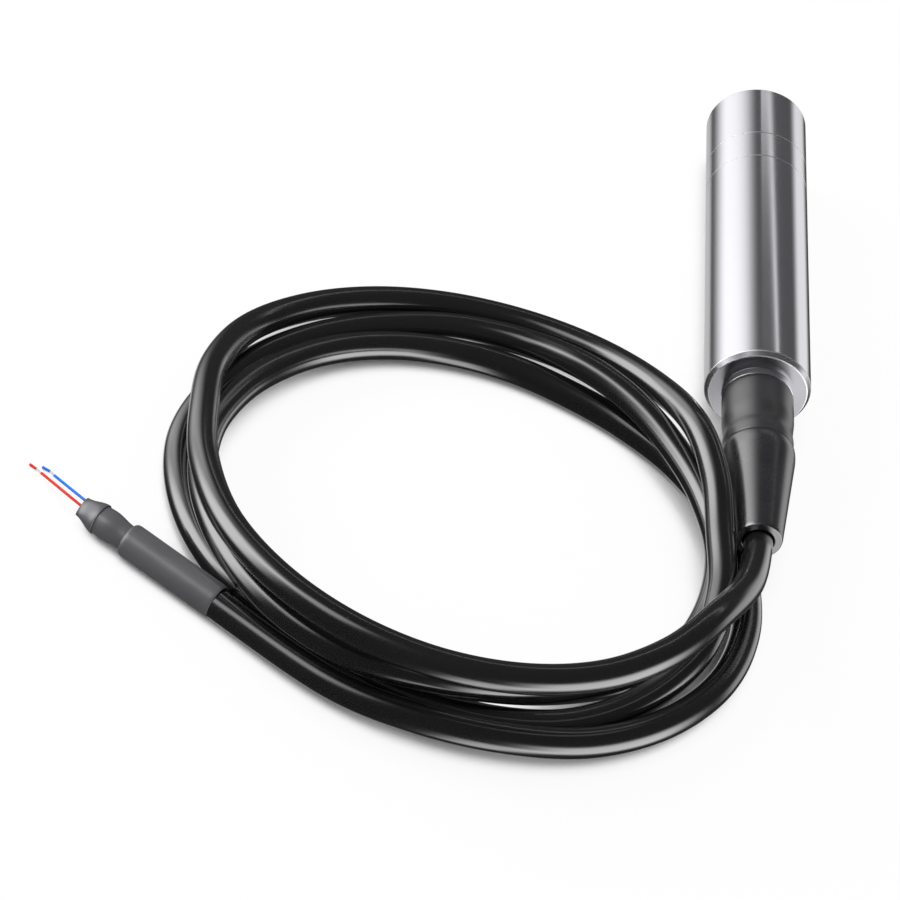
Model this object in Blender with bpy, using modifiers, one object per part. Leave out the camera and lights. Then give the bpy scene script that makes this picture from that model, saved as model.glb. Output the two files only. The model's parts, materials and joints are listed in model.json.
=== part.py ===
"""Submersible level transmitter: a steel pressure probe on a coiled vented cable.

The probe lies along +Y with its sensing end at +Y. It rests on z = 0, and the origin is
at the bottom centre of the probe and its bend sleeve. Units are metres.
"""
import math

import bmesh
import bpy
import numpy as np
from mathutils import Matrix, Vector

MM = 0.001
GAP = 0.3 * MM                     # clearance between pieces that touch on the real thing
BUTT = 0.1 * MM                    # clearance between the lengths of one fine wire

# Probe, along its axis from the rear face (s = 0) towards the sensing end.
PROBE_RADIUS = 14.0 * MM
HOUSING_LENGTH = 80.95 * MM
HOUSING_WALL = 2.0 * MM
SENSOR_RING_LENGTH = 9.75 * MM
CAP_LENGTH = 19.1 * MM
REAR_WALL = 6.0 * MM
RIM_CHAMFER_AXIAL = 1.3 * MM
RIM_CHAMFER_RADIAL = 1.0 * MM
NOSE_CHAMFER = 0.3 * MM
SPIGOT_LENGTH = 8.0 * MM           # of the sensor body, to each side of its ring
SPIGOT_BORE = 6.5 * MM             # radius
CAP_WALL = 3.9 * MM                # at its front face
CAP_SIDE_WALL = 2.3 * MM
CELL_POCKET_DEPTH = 13.0 * MM
CELL_POCKET_WALL = 1.6 * MM
CELL_LENGTH = 8.0 * MM
SEAL_GROOVE_DEPTH = 1.5 * MM
SEAL_GROOVE_WIDTH = 2.4 * MM
INLET_CENTRE_RADIUS = 2.5 * MM
INLET_RADIUS = 1.5 * MM
INLET_COUNT = 6
HOUSING_BORE = PROBE_RADIUS - HOUSING_WALL
PROBE_LENGTH = HOUSING_LENGTH + GAP + SENSOR_RING_LENGTH + GAP + CAP_LENGTH
INLET_CIRCLE = PROBE_RADIUS / 2

# Neck, gland and the rubber over them, behind the rear face (s below 0).
COLLAR_RADIUS = 9.3 * MM
COLLAR_LENGTH = 2.4 * MM
NECK_RADIUS = 8.6 * MM
NECK_LENGTH = 14.0 * MM
POCKET_RADIUS = 6.5 * MM
CABLE_HOLE = 4.2 * MM
NUT_HEAD_RADIUS = 8.3 * MM
NUT_HEAD_LENGTH = 5.7 * MM
NUT_TAIL_RADIUS = 6.6 * MM
NUT_TAIL_END = 29.0 * MM
BOOT_RADIUS = 9.4 * MM
BOOT_END = 22.2 * MM
SLEEVE_START = 22.5 * MM
SLEEVE_WIDE_RADIUS = 9.65 * MM
SLEEVE_MOUTH_RADIUS = 6.2 * MM
SLEEVE_MOUTH = 54.7 * MM           # distance behind the rear face
CLAMP_RADIUS = 6.0 * MM
CLAMP_LENGTH = 4.0 * MM

# Cable.
CABLE_RADIUS = 3.75 * MM
CABLE_BORE = CABLE_RADIUS + GAP
JACKET_INSIDE = 12.0 * MM          # how far the jacket reaches into the housing
CORE_RADIUS = 0.9 * MM
CORE_SPACING = 2.6 * MM
VENT_RADIUS = 0.6 * MM

# Far end of the cable.
END_SLEEVE_LENGTH = 27.3 * MM
END_SLEEVE_RADIUS = 4.4 * MM
END_SHRINK_OUT = 7.9 * MM          # length that shows past the sleeve
END_SHRINK_WAIST = 3.35 * MM
END_SHRINK_BORE = 2.9 * MM
END_CAP_RADIUS = 4.1 * MM
END_CAP_LENGTH = 5.9 * MM
END_CAP_WALL = 0.4 * MM
END_CAP_HALF_WIDTH = 2.55 * MM     # of its flattened mouth
END_CAP_HALF_HEIGHT = 1.2 * MM
END_CAP_TILT = math.radians(38.0)
WIRE_RADIUS = 0.35 * MM
STRAND_RADIUS = 0.24 * MM

# Electronics.
BOARD_START = 20.0 * MM
BOARD_END = HOUSING_LENGTH - SPIGOT_LENGTH - 2.5 * MM
BOARD_WIDTH = HOUSING_BORE * 4 / 3
BOARD_THICKNESS = 1.6 * MM
HOLDER_RADIUS = HOUSING_BORE - GAP
HOLDER_LENGTH = 3.0 * MM
HOLDER_INSET = 2.5 * MM            # from the board's end to the middle of the disc
TERMINAL_START = 28.0 * MM
TERMINAL_SIZE = (10.0 * MM, 8.0 * MM, 7.0 * MM)
LEAD_RADIUS = 0.4 * MM
LEAD_HEIGHT = 3.2 * MM

OUTER_STEPS = 40
INNER_STEPS = 24

# The rear face's y, which puts the bend sleeve's mouth and the sensing end at equal distances.
REAR_Y = -(PROBE_LENGTH - SLEEVE_MOUTH) / 2.0
AXIS_Z = PROBE_RADIUS

# The cable's loose turns: radius and height of its centre every 30 degrees, in mm, clockwise
# seen from above. The turns wander over each other, so each station was chosen by hand.
COIL_CENTRE = (-71.5, -84.15)
COIL_STEP = 30.0
COIL_END = 1198.0
COIL_ROUTE = [
    # first turn, from the bend sleeve: over the top, then down to the outside
    (71.5, 14.0), (69.0, 24.5), (71.5, 24.5), (73.5, 24.5), (74.5, 23.5), (74.5, 21.0),
    (72.0, 17.5), (74.5, 10.0), (73.0, 6.0), (72.0, 5.0), (69.0, 10.0), (62.5, 19.2),
    # second turn: along the floor at the front and the left
    (60.8, 16.0), (68.0, 11.0), (69.5, 4.5), (68.5, 4.0), (66.5, 4.0), (73.0, 4.0),
    (75.0, 4.0), (69.0, 4.0), (65.0, 4.0), (63.5, 6.0), (58.5, 12.0), (58.5, 11.5),
    # third turn: over the second at the front, innermost at the back
    (63.2, 8.0), (63.5, 4.0), (60.5, 5.5), (66.0, 12.0), (72.5, 12.5), (73.0, 12.5),
    (69.0, 10.0), (61.5, 8.0), (57.0, 5.5), (54.5, 4.5), (55.5, 3.9), (62.5, 3.8),
    # last part turn: the outermost at the front
    (70.5, 3.8), (76.5, 5.5), (77.5, 6.0), (76.0, 7.0), (76.0, 5.0), (77.0, 3.8),
]
POINTS_PER_TURN = 22
END_MOUTH = Vector((-131.9, -135.35, 4.45)) * MM     # mouth of the sleeve on the far end
END_DIRECTION = Vector((-0.861, 0.509, 0.0)).normalized()


# Scene, collections and materials

for old in list(bpy.data.objects):
    bpy.data.objects.remove(old, do_unlink=True)

PARTS = bpy.data.collections.new("submersible_level_transmitter")
CUTTERS = bpy.data.collections.new("cutters")
bpy.context.scene.collection.children.link(PARTS)
bpy.context.scene.collection.children.link(CUTTERS)

LOOKS = {
    "steel": ((0.62, 0.62, 0.63), 0.22, 1.0),
    "shrink": ((0.035, 0.035, 0.037), 0.50, 0.0),
    "rubber": ((0.022, 0.022, 0.024), 0.55, 0.0),
    "jacket": ((0.012, 0.012, 0.014), 0.22, 0.0),
    "sleeve": ((0.060, 0.060, 0.064), 0.55, 0.0),
    "red_wire": ((0.80, 0.06, 0.03), 0.40, 0.0),
    "blue_wire": ((0.03, 0.14, 0.60), 0.40, 0.0),
    "tinned": ((0.72, 0.72, 0.70), 0.32, 1.0),
    "seal": ((0.02, 0.02, 0.02), 0.60, 0.0),
    "cell": ((0.55, 0.56, 0.57), 0.30, 1.0),
    "board": ((0.03, 0.22, 0.09), 0.45, 0.0),
    "chip": ((0.03, 0.03, 0.03), 0.40, 0.0),
    "can": ((0.60, 0.60, 0.62), 0.30, 1.0),
    "holder": ((0.75, 0.74, 0.70), 0.50, 0.0),
    "terminal": ((0.05, 0.30, 0.14), 0.45, 0.0),
    "brass": ((0.72, 0.52, 0.22), 0.30, 1.0),
    "vent": ((0.85, 0.85, 0.82), 0.45, 0.0),
}


def material(name, look):
    """A Principled material with one of the looks above."""
    colour, roughness, metallic = LOOKS[look]
    made = bpy.data.materials.new(name)
    made.use_nodes = True
    shader = made.node_tree.nodes["Principled BSDF"]
    shader.inputs["Base Color"].default_value = (*colour, 1.0)
    shader.inputs["Roughness"].default_value = roughness
    shader.inputs["Metallic"].default_value = metallic
    made.diffuse_color = (*colour, 1.0)
    return made


def add(name, data, look):
    """Put data in the scene as a named part with its own material."""
    made = bpy.data.objects.new(name, data)
    PARTS.objects.link(made)
    if look is None:
        return made
    data.materials.clear()
    data.materials.append(material(name + "_finish", look))
    return made


def baked(source):
    """The object's evaluated shape as a plain mesh in the object's own space."""
    bpy.context.view_layer.update()
    graph = bpy.context.evaluated_depsgraph_get()
    mesh = bpy.data.meshes.new_from_object(source.evaluated_get(graph), depsgraph=graph)
    work = bmesh.new()
    work.from_mesh(mesh)
    bmesh.ops.remove_doubles(work, verts=work.verts, dist=0.002 * MM)
    work.to_mesh(mesh)
    work.free()
    return mesh


def smooth(mesh):
    """Shade smooth, with the turned edges kept sharp."""
    mesh.shade_smooth()
    mesh.set_sharp_from_angle(angle=math.radians(30.0))


def along(s, x=0.0, up=0.0):
    """The point at distance s from the rear face, beside or above the probe's axis."""
    return Vector((x, REAR_Y + s, AXIS_Z + up))


# The probe's own direction: a turned piece's local +Z points along world +Y.
PROBE_TURN = Matrix.Rotation(math.radians(-90.0), 4, "X")


def turned(name, look, profile, steps=INNER_STEPS, closed=True, frame=None):
    """A profile of (radius, s) turned about the probe's axis, or about frame's Z axis.

    The profile runs down the outer side from high s to low s. A closed one then comes back
    up the bore. An open one starts and ends on the axis.
    """
    mesh = bpy.data.meshes.new(name)
    work = bmesh.new()
    verts = [work.verts.new((radius, 0.0, s)) for radius, s in profile]
    for first, second in zip(verts, verts[1:]):
        work.edges.new((first, second))
    if closed:
        work.edges.new((verts[-1], verts[0]))
    work.to_mesh(mesh)
    work.free()
    made = add(name, mesh, look)
    screw = made.modifiers.new("turn", "SCREW")
    screw.axis = "Z"
    screw.angle = math.tau
    screw.steps = steps
    screw.render_steps = steps
    screw.use_merge_vertices = True
    screw.merge_threshold = 0.00001
    screw.use_smooth_shade = True
    if frame is None:
        frame = Matrix.Translation(along(0.0)) @ PROBE_TURN
    made.data = baked(made)
    made.data.name = name
    made.modifiers.clear()
    smooth(made.data)
    made.matrix_world = frame
    return made


def box(name, look, centre, size):
    """A box from a unit cube."""
    mesh = bpy.data.meshes.new(name)
    work = bmesh.new()
    bmesh.ops.create_cube(work, size=1.0)
    bmesh.ops.scale(work, vec=size, verts=work.verts)
    work.to_mesh(mesh)
    work.free()
    made = add(name, mesh, look)
    made.location = centre
    return made


def rod(name, look, centre, radius, depth, axis="Z", segments=INNER_STEPS):
    """A solid cylinder along X, Y or Z."""
    mesh = bpy.data.meshes.new(name)
    work = bmesh.new()
    bmesh.ops.create_cone(
        work, cap_ends=True, segments=segments, radius1=radius, radius2=radius, depth=depth
    )
    work.to_mesh(mesh)
    work.free()
    made = add(name, mesh, look)
    turns = {"X": (0.0, math.pi / 2, 0.0), "Y": (math.pi / 2, 0.0, 0.0), "Z": (0.0, 0.0, 0.0)}
    made.rotation_euler = turns[axis]
    made.location = centre
    smooth(mesh)
    return made


def ring(name, look, s, major, minor):
    """An O-ring about the probe's axis."""
    sides = 8
    profile = []
    for k in range(sides):
        a = math.pi / 2 - math.tau * k / sides
        profile.append((major + minor * math.cos(a), s + minor * math.sin(a)))
    return turned(name, look, profile)


def tube(name, look, points, radius, resolution=2):
    """A round tube along points, closed at both ends."""
    data = bpy.data.curves.new(name, "CURVE")
    data.dimensions = "3D"
    data.bevel_depth = radius
    data.bevel_resolution = resolution
    data.use_fill_caps = True
    line = data.splines.new("POLY")
    line.points.add(len(points) - 1)
    for point, place in zip(line.points, points):
        point.co = (*place, 1.0)
    return add(name, data, look)


def cut(target, cutter):
    """Take the cutter's shape out of the target."""
    PARTS.objects.unlink(cutter)
    CUTTERS.objects.link(cutter)
    cutter.hide_render = True
    cutter.display_type = "WIRE"
    hole = target.modifiers.new("cut_" + cutter.name, "BOOLEAN")
    hole.operation = "DIFFERENCE"
    hole.solver = "EXACT"
    hole.object = cutter


def curve_through(points, count):
    """Catmull-Rom curve through hand-chosen points, count pieces to each span."""
    p = np.array([tuple(q) for q in points], float)
    p = np.vstack([2 * p[0] - p[1], p, 2 * p[-1] - p[-2]])
    made = []
    for k in range(1, len(p) - 2):
        for u in np.arange(count) / count:
            made.append(
                0.5 * (2 * p[k] + (p[k + 1] - p[k - 1]) * u
                       + (2 * p[k - 1] - 5 * p[k] + 4 * p[k + 1] - p[k + 2]) * u**2
                       + (3 * p[k] - p[k - 1] - 3 * p[k + 1] + p[k + 2]) * u**3)
            )
    made.append(p[-2])
    return [Vector(q) for q in made]


# Housing: one bar turned with its rear wall and cable neck.

turned("housing", "steel", [
    (PROBE_RADIUS, HOUSING_LENGTH),
    (PROBE_RADIUS, RIM_CHAMFER_AXIAL),
    (PROBE_RADIUS - RIM_CHAMFER_RADIAL, 0.0),
    (COLLAR_RADIUS, 0.0),
    (COLLAR_RADIUS, -COLLAR_LENGTH),
    (NECK_RADIUS, -COLLAR_LENGTH),
    (NECK_RADIUS, -NECK_LENGTH),
    (POCKET_RADIUS, -NECK_LENGTH),
    (POCKET_RADIUS, 2.0 * MM),
    (CABLE_HOLE, 2.0 * MM),
    (CABLE_HOLE, REAR_WALL),
    (HOUSING_BORE, REAR_WALL),
    (HOUSING_BORE, HOUSING_LENGTH),
], OUTER_STEPS)

# Gland in the neck: seal, washer and nut, which grip the jacket.

seal_front = 2.0 * MM - GAP
seal_back = seal_front - 7.0 * MM
turned("gland_seal", "seal", [
    (POCKET_RADIUS - GAP, seal_front),
    (POCKET_RADIUS - GAP, seal_back),
    (CABLE_BORE, seal_back),
    (CABLE_BORE, seal_front),
])
washer_back = seal_back - GAP - 1.0 * MM
turned("gland_washer", "brass", [
    (POCKET_RADIUS - GAP, seal_back - GAP),
    (POCKET_RADIUS - GAP, washer_back),
    (CABLE_BORE, washer_back),
    (CABLE_BORE, seal_back - GAP),
])
nut_head = -NECK_LENGTH - GAP
turned("gland_nut", "steel", [
    (POCKET_RADIUS - GAP, washer_back - GAP),
    (POCKET_RADIUS - GAP, nut_head),
    (NUT_HEAD_RADIUS, nut_head),
    (NUT_HEAD_RADIUS, nut_head - NUT_HEAD_LENGTH),
    (NUT_TAIL_RADIUS, nut_head - NUT_HEAD_LENGTH),
    (NUT_TAIL_RADIUS, -NUT_TAIL_END),
    (CABLE_BORE, -NUT_TAIL_END),
    (CABLE_BORE, washer_back - GAP),
])
turned("cable_clamp", "tinned", [
    (CLAMP_RADIUS, REAR_WALL + GAP + CLAMP_LENGTH),
    (CLAMP_RADIUS, REAR_WALL + GAP),
    (CABLE_BORE, REAR_WALL + GAP),
    (CABLE_BORE, REAR_WALL + GAP + CLAMP_LENGTH),
])

# Heat-shrink boot over the neck, and the moulded bend sleeve behind it.

boot_front = -COLLAR_LENGTH - GAP
turned("shrink_boot", "shrink", [
    (BOOT_RADIUS - 0.15 * MM, boot_front),
    (BOOT_RADIUS, boot_front - 0.6 * MM),
    (BOOT_RADIUS, -17.0 * MM),
    (BOOT_RADIUS - 0.3 * MM, -20.6 * MM),
    (BOOT_RADIUS - 0.15 * MM, -BOOT_END),
    (NUT_HEAD_RADIUS + GAP, -BOOT_END),
    (NUT_HEAD_RADIUS + GAP, -17.5 * MM),
    (NECK_RADIUS + GAP, -NECK_LENGTH),
    (NECK_RADIUS + GAP, boot_front),
], OUTER_STEPS)
turned("bend_sleeve", "rubber", [
    (SLEEVE_WIDE_RADIUS - 0.5 * MM, -SLEEVE_START),
    (SLEEVE_WIDE_RADIUS - 0.15 * MM, -SLEEVE_START - 0.4 * MM),
    (SLEEVE_WIDE_RADIUS, -SLEEVE_START - 3.2 * MM),
    (SLEEVE_MOUTH_RADIUS, -SLEEVE_MOUTH + 0.5 * MM),
    (SLEEVE_MOUTH_RADIUS - 0.3 * MM, -SLEEVE_MOUTH),
    (CABLE_BORE, -SLEEVE_MOUTH),
    (CABLE_BORE, -NUT_TAIL_END - GAP),
    (NUT_TAIL_RADIUS + GAP, -NUT_TAIL_END - GAP),
    (NUT_TAIL_RADIUS + GAP, -SLEEVE_START),
], OUTER_STEPS)

# Sensor body: a ring that shows between two seams, with a spigot into the housing and
# another into the nose cap, and the pressure cell clamped in its front pocket.

body_rear = HOUSING_LENGTH + GAP
body_front = body_rear + SENSOR_RING_LENGTH
spigot_rear = HOUSING_LENGTH - SPIGOT_LENGTH
spigot_front = body_front + SPIGOT_LENGTH
pocket_floor = spigot_front - CELL_POCKET_DEPTH
cap_bore = PROBE_RADIUS - CAP_SIDE_WALL
pocket_radius = cap_bore - GAP - CELL_POCKET_WALL
groove_front = HOUSING_LENGTH - SEAL_GROOVE_DEPTH
groove_rear = groove_front - SEAL_GROOVE_WIDTH
groove_radius = HOUSING_BORE - GAP - SEAL_GROOVE_DEPTH
turned("sensor_body", "steel", [
    (cap_bore - GAP, spigot_front),
    (cap_bore - GAP, body_front),
    (PROBE_RADIUS, body_front),
    (PROBE_RADIUS, body_rear),
    (HOUSING_BORE - GAP, body_rear),
    (HOUSING_BORE - GAP, groove_front),
    (groove_radius, groove_front),
    (groove_radius, groove_rear),
    (HOUSING_BORE - GAP, groove_rear),
    (HOUSING_BORE - GAP, spigot_rear),
    (SPIGOT_BORE, spigot_rear),
    (SPIGOT_BORE, pocket_floor),
    (pocket_radius, pocket_floor),
    (pocket_radius, spigot_front),
], OUTER_STEPS)
ring("body_o_ring", "seal", (groove_front + groove_rear) / 2,
     (HOUSING_BORE + groove_radius) / 2, (HOUSING_BORE - groove_radius) / 2 - GAP)

cell_back = pocket_floor + GAP
cell_front = cell_back + CELL_LENGTH
cell_radius = pocket_radius - GAP
cell_groove = pocket_radius - SEAL_GROOVE_DEPTH
cell_recess = cell_groove - GAP
recess_floor = cell_front - 0.9 * MM
cell_groove_rear = cell_back + 2.3 * MM
cell_groove_front = cell_groove_rear + SEAL_GROOVE_WIDTH
turned("sensor_cell", "cell", [
    (0.0, recess_floor),
    (cell_recess, recess_floor),
    (cell_recess, cell_front),
    (cell_radius, cell_front),
    (cell_radius, cell_groove_front),
    (cell_groove, cell_groove_front),
    (cell_groove, cell_groove_rear),
    (cell_radius, cell_groove_rear),
    (cell_radius, cell_back),
    (0.0, cell_back),
], closed=False)
ring("cell_o_ring", "seal", (cell_groove_rear + cell_groove_front) / 2,
     (pocket_radius + cell_groove) / 2, (pocket_radius - cell_groove) / 2 - GAP)
rod("diaphragm", "tinned", along((recess_floor + cell_front) / 2), cell_recess - GAP, GAP, "Y")
retainer_bore = cell_recess - 1.0 * MM
retainer_rear = cell_front + GAP
retainer_front = spigot_front - 1.3 * MM
turned("cell_retainer", "steel", [
    (cell_radius, retainer_front),
    (cell_radius, retainer_rear),
    (retainer_bore, retainer_rear),
    (retainer_bore, retainer_front),
])

# Nose cap: screwed over the front spigot, with one inlet in the middle and six round it.

cap_back = body_front + GAP
cap = turned("nose_cap", "steel", [
    (0.0, PROBE_LENGTH),
    (PROBE_RADIUS - NOSE_CHAMFER, PROBE_LENGTH),
    (PROBE_RADIUS, PROBE_LENGTH - NOSE_CHAMFER),
    (PROBE_RADIUS, cap_back),
    (cap_bore, cap_back),
    (cap_bore, PROBE_LENGTH - CAP_WALL),
    (0.0, PROBE_LENGTH - CAP_WALL),
], OUTER_STEPS, closed=False)
inlet_s = PROBE_LENGTH - CAP_WALL / 2
cut(cap, rod("inlet_centre", None, along(inlet_s), INLET_CENTRE_RADIUS, 3 * CAP_WALL, "Y", 16))
for k in range(INLET_COUNT):
    a = math.tau * k / INLET_COUNT
    at = along(inlet_s, INLET_CIRCLE * math.cos(a), INLET_CIRCLE * math.sin(a))
    cut(cap, rod(f"inlet_{k + 1}", None, at, INLET_RADIUS, 3 * CAP_WALL, "Y", 12))

# Circuit board in two plastic discs. Each disc has a slot for the board and a window above
# and below it for the wires.

board_mid = (BOARD_START + BOARD_END) / 2
board_long = BOARD_END - BOARD_START
board_top = BOARD_THICKNESS / 2
seat = board_top + GAP
box("circuit_board", "board", along(board_mid),
    (BOARD_WIDTH, board_long, BOARD_THICKNESS))
for name, s in (("rear_board_holder", BOARD_START + HOLDER_INSET),
                ("front_board_holder", BOARD_END - HOLDER_INSET)):
    holder = rod(name, "holder", along(s), HOLDER_RADIUS, HOLDER_LENGTH, "Y", 32)
    deep = 3 * HOLDER_LENGTH
    cut(holder, box(name + "_slot", None, along(s),
                    (BOARD_WIDTH + 2 * GAP, deep, BOARD_THICKNESS + 2 * GAP)))
    cut(holder, box(name + "_window_top", None, along(s, 0.0, 4.4 * MM),
                    (8.0 * MM, deep, 4.8 * MM)))
    cut(holder, box(name + "_window_low", None, along(s, 0.0, -3.9 * MM),
                    (4.0 * MM, deep, 3.8 * MM)))

wide, long, tall = TERMINAL_SIZE
terminal_mid = TERMINAL_START + long / 2
terminal = box("terminal_block", "terminal", along(terminal_mid, 0.0, seat + tall / 2),
               TERMINAL_SIZE)
for k, side in ((1, -1), (2, 1)):
    x = side * wide / 4
    well = 3.0 * MM
    cut(terminal, rod(f"screw_well_{k}", None, along(terminal_mid, x, seat + tall),
                      1.7 * MM, 2 * well, "Z", 16))
    head = 2.2 * MM
    screw_up = seat + tall - well + GAP + head / 2
    screw = rod(f"terminal_screw_{k}", "brass", along(terminal_mid, x, screw_up),
                1.4 * MM, head, "Z", 16)
    cut(screw, box(f"screw_slot_{k}", None, along(terminal_mid, x, screw_up + head / 2),
                   (4.0 * MM, 0.5 * MM, 1.2 * MM)))

box("amplifier_chip", "chip", along(BOARD_START + 0.48 * board_long, -BOARD_WIDTH / 8, seat + 0.7 * MM),
    (5.0 * MM, 6.0 * MM, 1.4 * MM))
box("regulator_chip", "chip", along(BOARD_START + 0.64 * board_long, -BOARD_WIDTH / 7, seat + 0.8 * MM),
    (6.5 * MM, 6.5 * MM, 1.6 * MM))
for k, share in ((1, 0.46), (2, 0.60)):
    s = BOARD_START + share * board_long
    at = along(s, 0.28 * BOARD_WIDTH, seat + 2.6 * MM)
    rod(f"capacitor_{k}", "can", at, 2.2 * MM, 5.2 * MM, "Z", 16)
rod("surge_arrester", "can", along(33.0 * MM, 5.0 * MM, -seat - 1.5 * MM), 1.5 * MM, 6.0 * MM,
    "Y", 16)
header_long = 4.0 * MM
header_start = BOARD_START + 0.77 * board_long
box("sensor_header", "holder", along(header_start + header_long / 2, 0.0, seat + 2.0 * MM),
    (6.5 * MM, header_long, 4.0 * MM))

# Cable cores from the jacket's end to the terminal block, the vent capillary that gives the
# cell its reference pressure, and the cell's four leads.

core_start = JACKET_INSIDE + GAP
core_up = 3.6 * MM
for name, look, side in (("core_red_inner", "red_wire", -1), ("core_blue_inner", "blue_wire", 1)):
    near = side * CORE_SPACING / 2
    far = side * wide / 4
    tube(name, look, curve_through([
        along(core_start, near, 0.6 * MM),
        along(core_start + 3.0 * MM, near, 1.9 * MM),
        along(BOARD_START, far * 0.8, core_up),
        along(TERMINAL_START - GAP, far, core_up),
    ], 3), CORE_RADIUS)

tube("vent_tube", "vent", curve_through([
    along(core_start, 0.0, -1.6 * MM),
    along(BOARD_START - 3.0 * MM, 0.0, -2.6 * MM),
    along(BOARD_START + 8.0 * MM, 0.0, -3.6 * MM),
    along(BOARD_END - 2.0 * MM, 0.0, -3.6 * MM),
    along(spigot_rear + 3.0 * MM, 0.0, -2.4 * MM),
    along(cell_back - GAP, 0.0, -1.5 * MM),
], 3), VENT_RADIUS)

for k in range(4):
    x = (k - 1.5) * 1.5 * MM
    tube(f"cell_lead_{k + 1}", "vent", curve_through([
        along(header_start + header_long + GAP, x, LEAD_HEIGHT),
        along(BOARD_END - 2.0 * MM, x, LEAD_HEIGHT + 0.5 * MM),
        along(spigot_rear + 3.0 * MM, x, LEAD_HEIGHT),
        along(cell_back - GAP, x, 1.5 * MM),
    ], 3), LEAD_RADIUS, 1)


# Cable: a straight run through the gland and the bend sleeve, the loose turns, and a short
# straight end in the far sleeve. One tube, as on the real thing.

def route_value(column, angle):
    """Radius or height of the cable's centre, as a smooth curve through the stations."""
    values = [station[column] for station in COIL_ROUTE]
    padded = [values[0]] + values + [values[-1]]
    k = min(int(angle / COIL_STEP), len(values) - 2)
    u = angle / COIL_STEP - k
    a, b, c, d = padded[k:k + 4]
    return 0.5 * (2 * b + (c - a) * u + (2 * a - 5 * b + 4 * c - d) * u**2
                  + (3 * b - a - 3 * c + d) * u**3)


def coil_point(angle):
    """The cable's centre at an angle along the turns. It never sinks into the floor."""
    radius = route_value(0, angle) * MM
    height = max(route_value(1, angle) * MM, CABLE_RADIUS)
    turn = math.radians(-angle)
    return Vector((
        COIL_CENTRE[0] * MM + radius * math.cos(turn),
        COIL_CENTRE[1] * MM + radius * math.sin(turn),
        height,
    ))


def end_point(distance, side=0.0):
    """A point in the far end, past its sleeve's mouth, beside its axis along the tilted edge."""
    return END_MOUTH + END_DIRECTION * distance + END_EDGE * side


level_side = Vector((-END_DIRECTION.y, END_DIRECTION.x, 0.0)) * -1.0
END_EDGE = level_side * math.cos(END_CAP_TILT) + Vector((0, 0, 1)) * math.sin(END_CAP_TILT)
END_FACE = END_DIRECTION.cross(END_EDGE)

jacket_end = 18.0 * MM
cable_points = [along(s) for s in (JACKET_INSIDE, -10.0 * MM, -33.0 * MM, -55.2 * MM)]
for k in range(1, int(COIL_END / 360.0 * POINTS_PER_TURN) + 1):
    cable_points.append(coil_point(k * 360.0 / POINTS_PER_TURN))
cable_points.append(end_point(-4.0 * MM) + Vector((-0.3, -0.5, 0.0)) * MM)
cable_points.append(end_point(6.0 * MM))
cable_points.append(end_point(jacket_end))
tube("cable", "jacket", cable_points, CABLE_RADIUS)


# Far end: a sleeve on the jacket, a thinner shrink tube out of it, and a cap pinched flat
# where the two wires come out. Each wire has a bare window and a slug of insulation left on.

def end_frame(distance):
    """Frame with Z along the far end, at a distance past the sleeve's mouth."""
    turn = Matrix((END_FACE, END_EDGE, END_DIRECTION)).transposed()
    if turn.determinant() < 0:
        turn = Matrix((-END_FACE, END_EDGE, END_DIRECTION)).transposed()
    return Matrix.Translation(end_point(distance)) @ turn.to_4x4()


shrink_start = jacket_end + GAP
shrink_end = END_SLEEVE_LENGTH + END_SHRINK_OUT
sleeve_lip = END_SHRINK_WAIST + GAP
turned("end_sleeve", "sleeve", [
    (sleeve_lip + 0.25 * MM, END_SLEEVE_LENGTH),
    (END_SLEEVE_RADIUS - 0.12 * MM, END_SLEEVE_LENGTH - 0.5 * MM),
    (END_SLEEVE_RADIUS, END_SLEEVE_LENGTH - 1.2 * MM),
    (END_SLEEVE_RADIUS, 0.4 * MM),
    (END_SLEEVE_RADIUS - 0.1 * MM, 0.0),
    (CABLE_BORE, 0.0),
    (CABLE_BORE, shrink_start),
    (sleeve_lip, shrink_start),
    (sleeve_lip, END_SLEEVE_LENGTH),
], frame=end_frame(0.0))
turned("end_shrink", "sleeve", [
    (CABLE_RADIUS, shrink_end),
    (CABLE_RADIUS, shrink_end - 1.8 * MM),
    (END_SHRINK_WAIST, END_SLEEVE_LENGTH + 1.6 * MM),
    (END_SHRINK_WAIST, shrink_start),
    (END_SHRINK_BORE, shrink_start),
    (END_SHRINK_BORE, shrink_end),
], frame=end_frame(0.0))

cap_start = shrink_end + GAP
cap_end = cap_start + END_CAP_LENGTH


def pinched_ring(work, t, inset, sides=20):
    """A ring of the end cap: round at t = 0, and a flat oval at t = 1."""
    ease = t * t * (3 - 2 * t)
    half_wide = END_CAP_RADIUS + (END_CAP_HALF_WIDTH - END_CAP_RADIUS) * ease - inset
    half_high = END_CAP_RADIUS + (END_CAP_HALF_HEIGHT - END_CAP_RADIUS) * ease - inset
    verts = []
    for k in range(sides):
        a = math.tau * k / sides
        out = END_EDGE * half_wide * math.cos(a) + END_FACE * half_high * math.sin(a)
        verts.append(work.verts.new(end_point(cap_start + END_CAP_LENGTH * t) + out))
    return verts


def loft(work, rings):
    """Quads between neighbouring rings, the last joined to the first."""
    for lower, upper in zip(rings, rings[1:] + rings[:1]):
        count = len(lower)
        for k in range(count):
            n = (k + 1) % count
            work.faces.new((lower[k], lower[n], upper[n], upper[k]))


cap_mesh = bpy.data.meshes.new("end_cap")
cap_work = bmesh.new()
stages = [0.0, 0.25, 0.5, 0.75, 1.0]
outside = [pinched_ring(cap_work, t, 0.0) for t in stages]
inside = [pinched_ring(cap_work, t, END_CAP_WALL) for t in reversed(stages)]
loft(cap_work, outside + inside)
bmesh.ops.recalc_face_normals(cap_work, faces=cap_work.faces)
cap_work.to_mesh(cap_mesh)
cap_work.free()
smooth(cap_mesh)
add("end_cap", cap_mesh, "sleeve")

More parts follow.
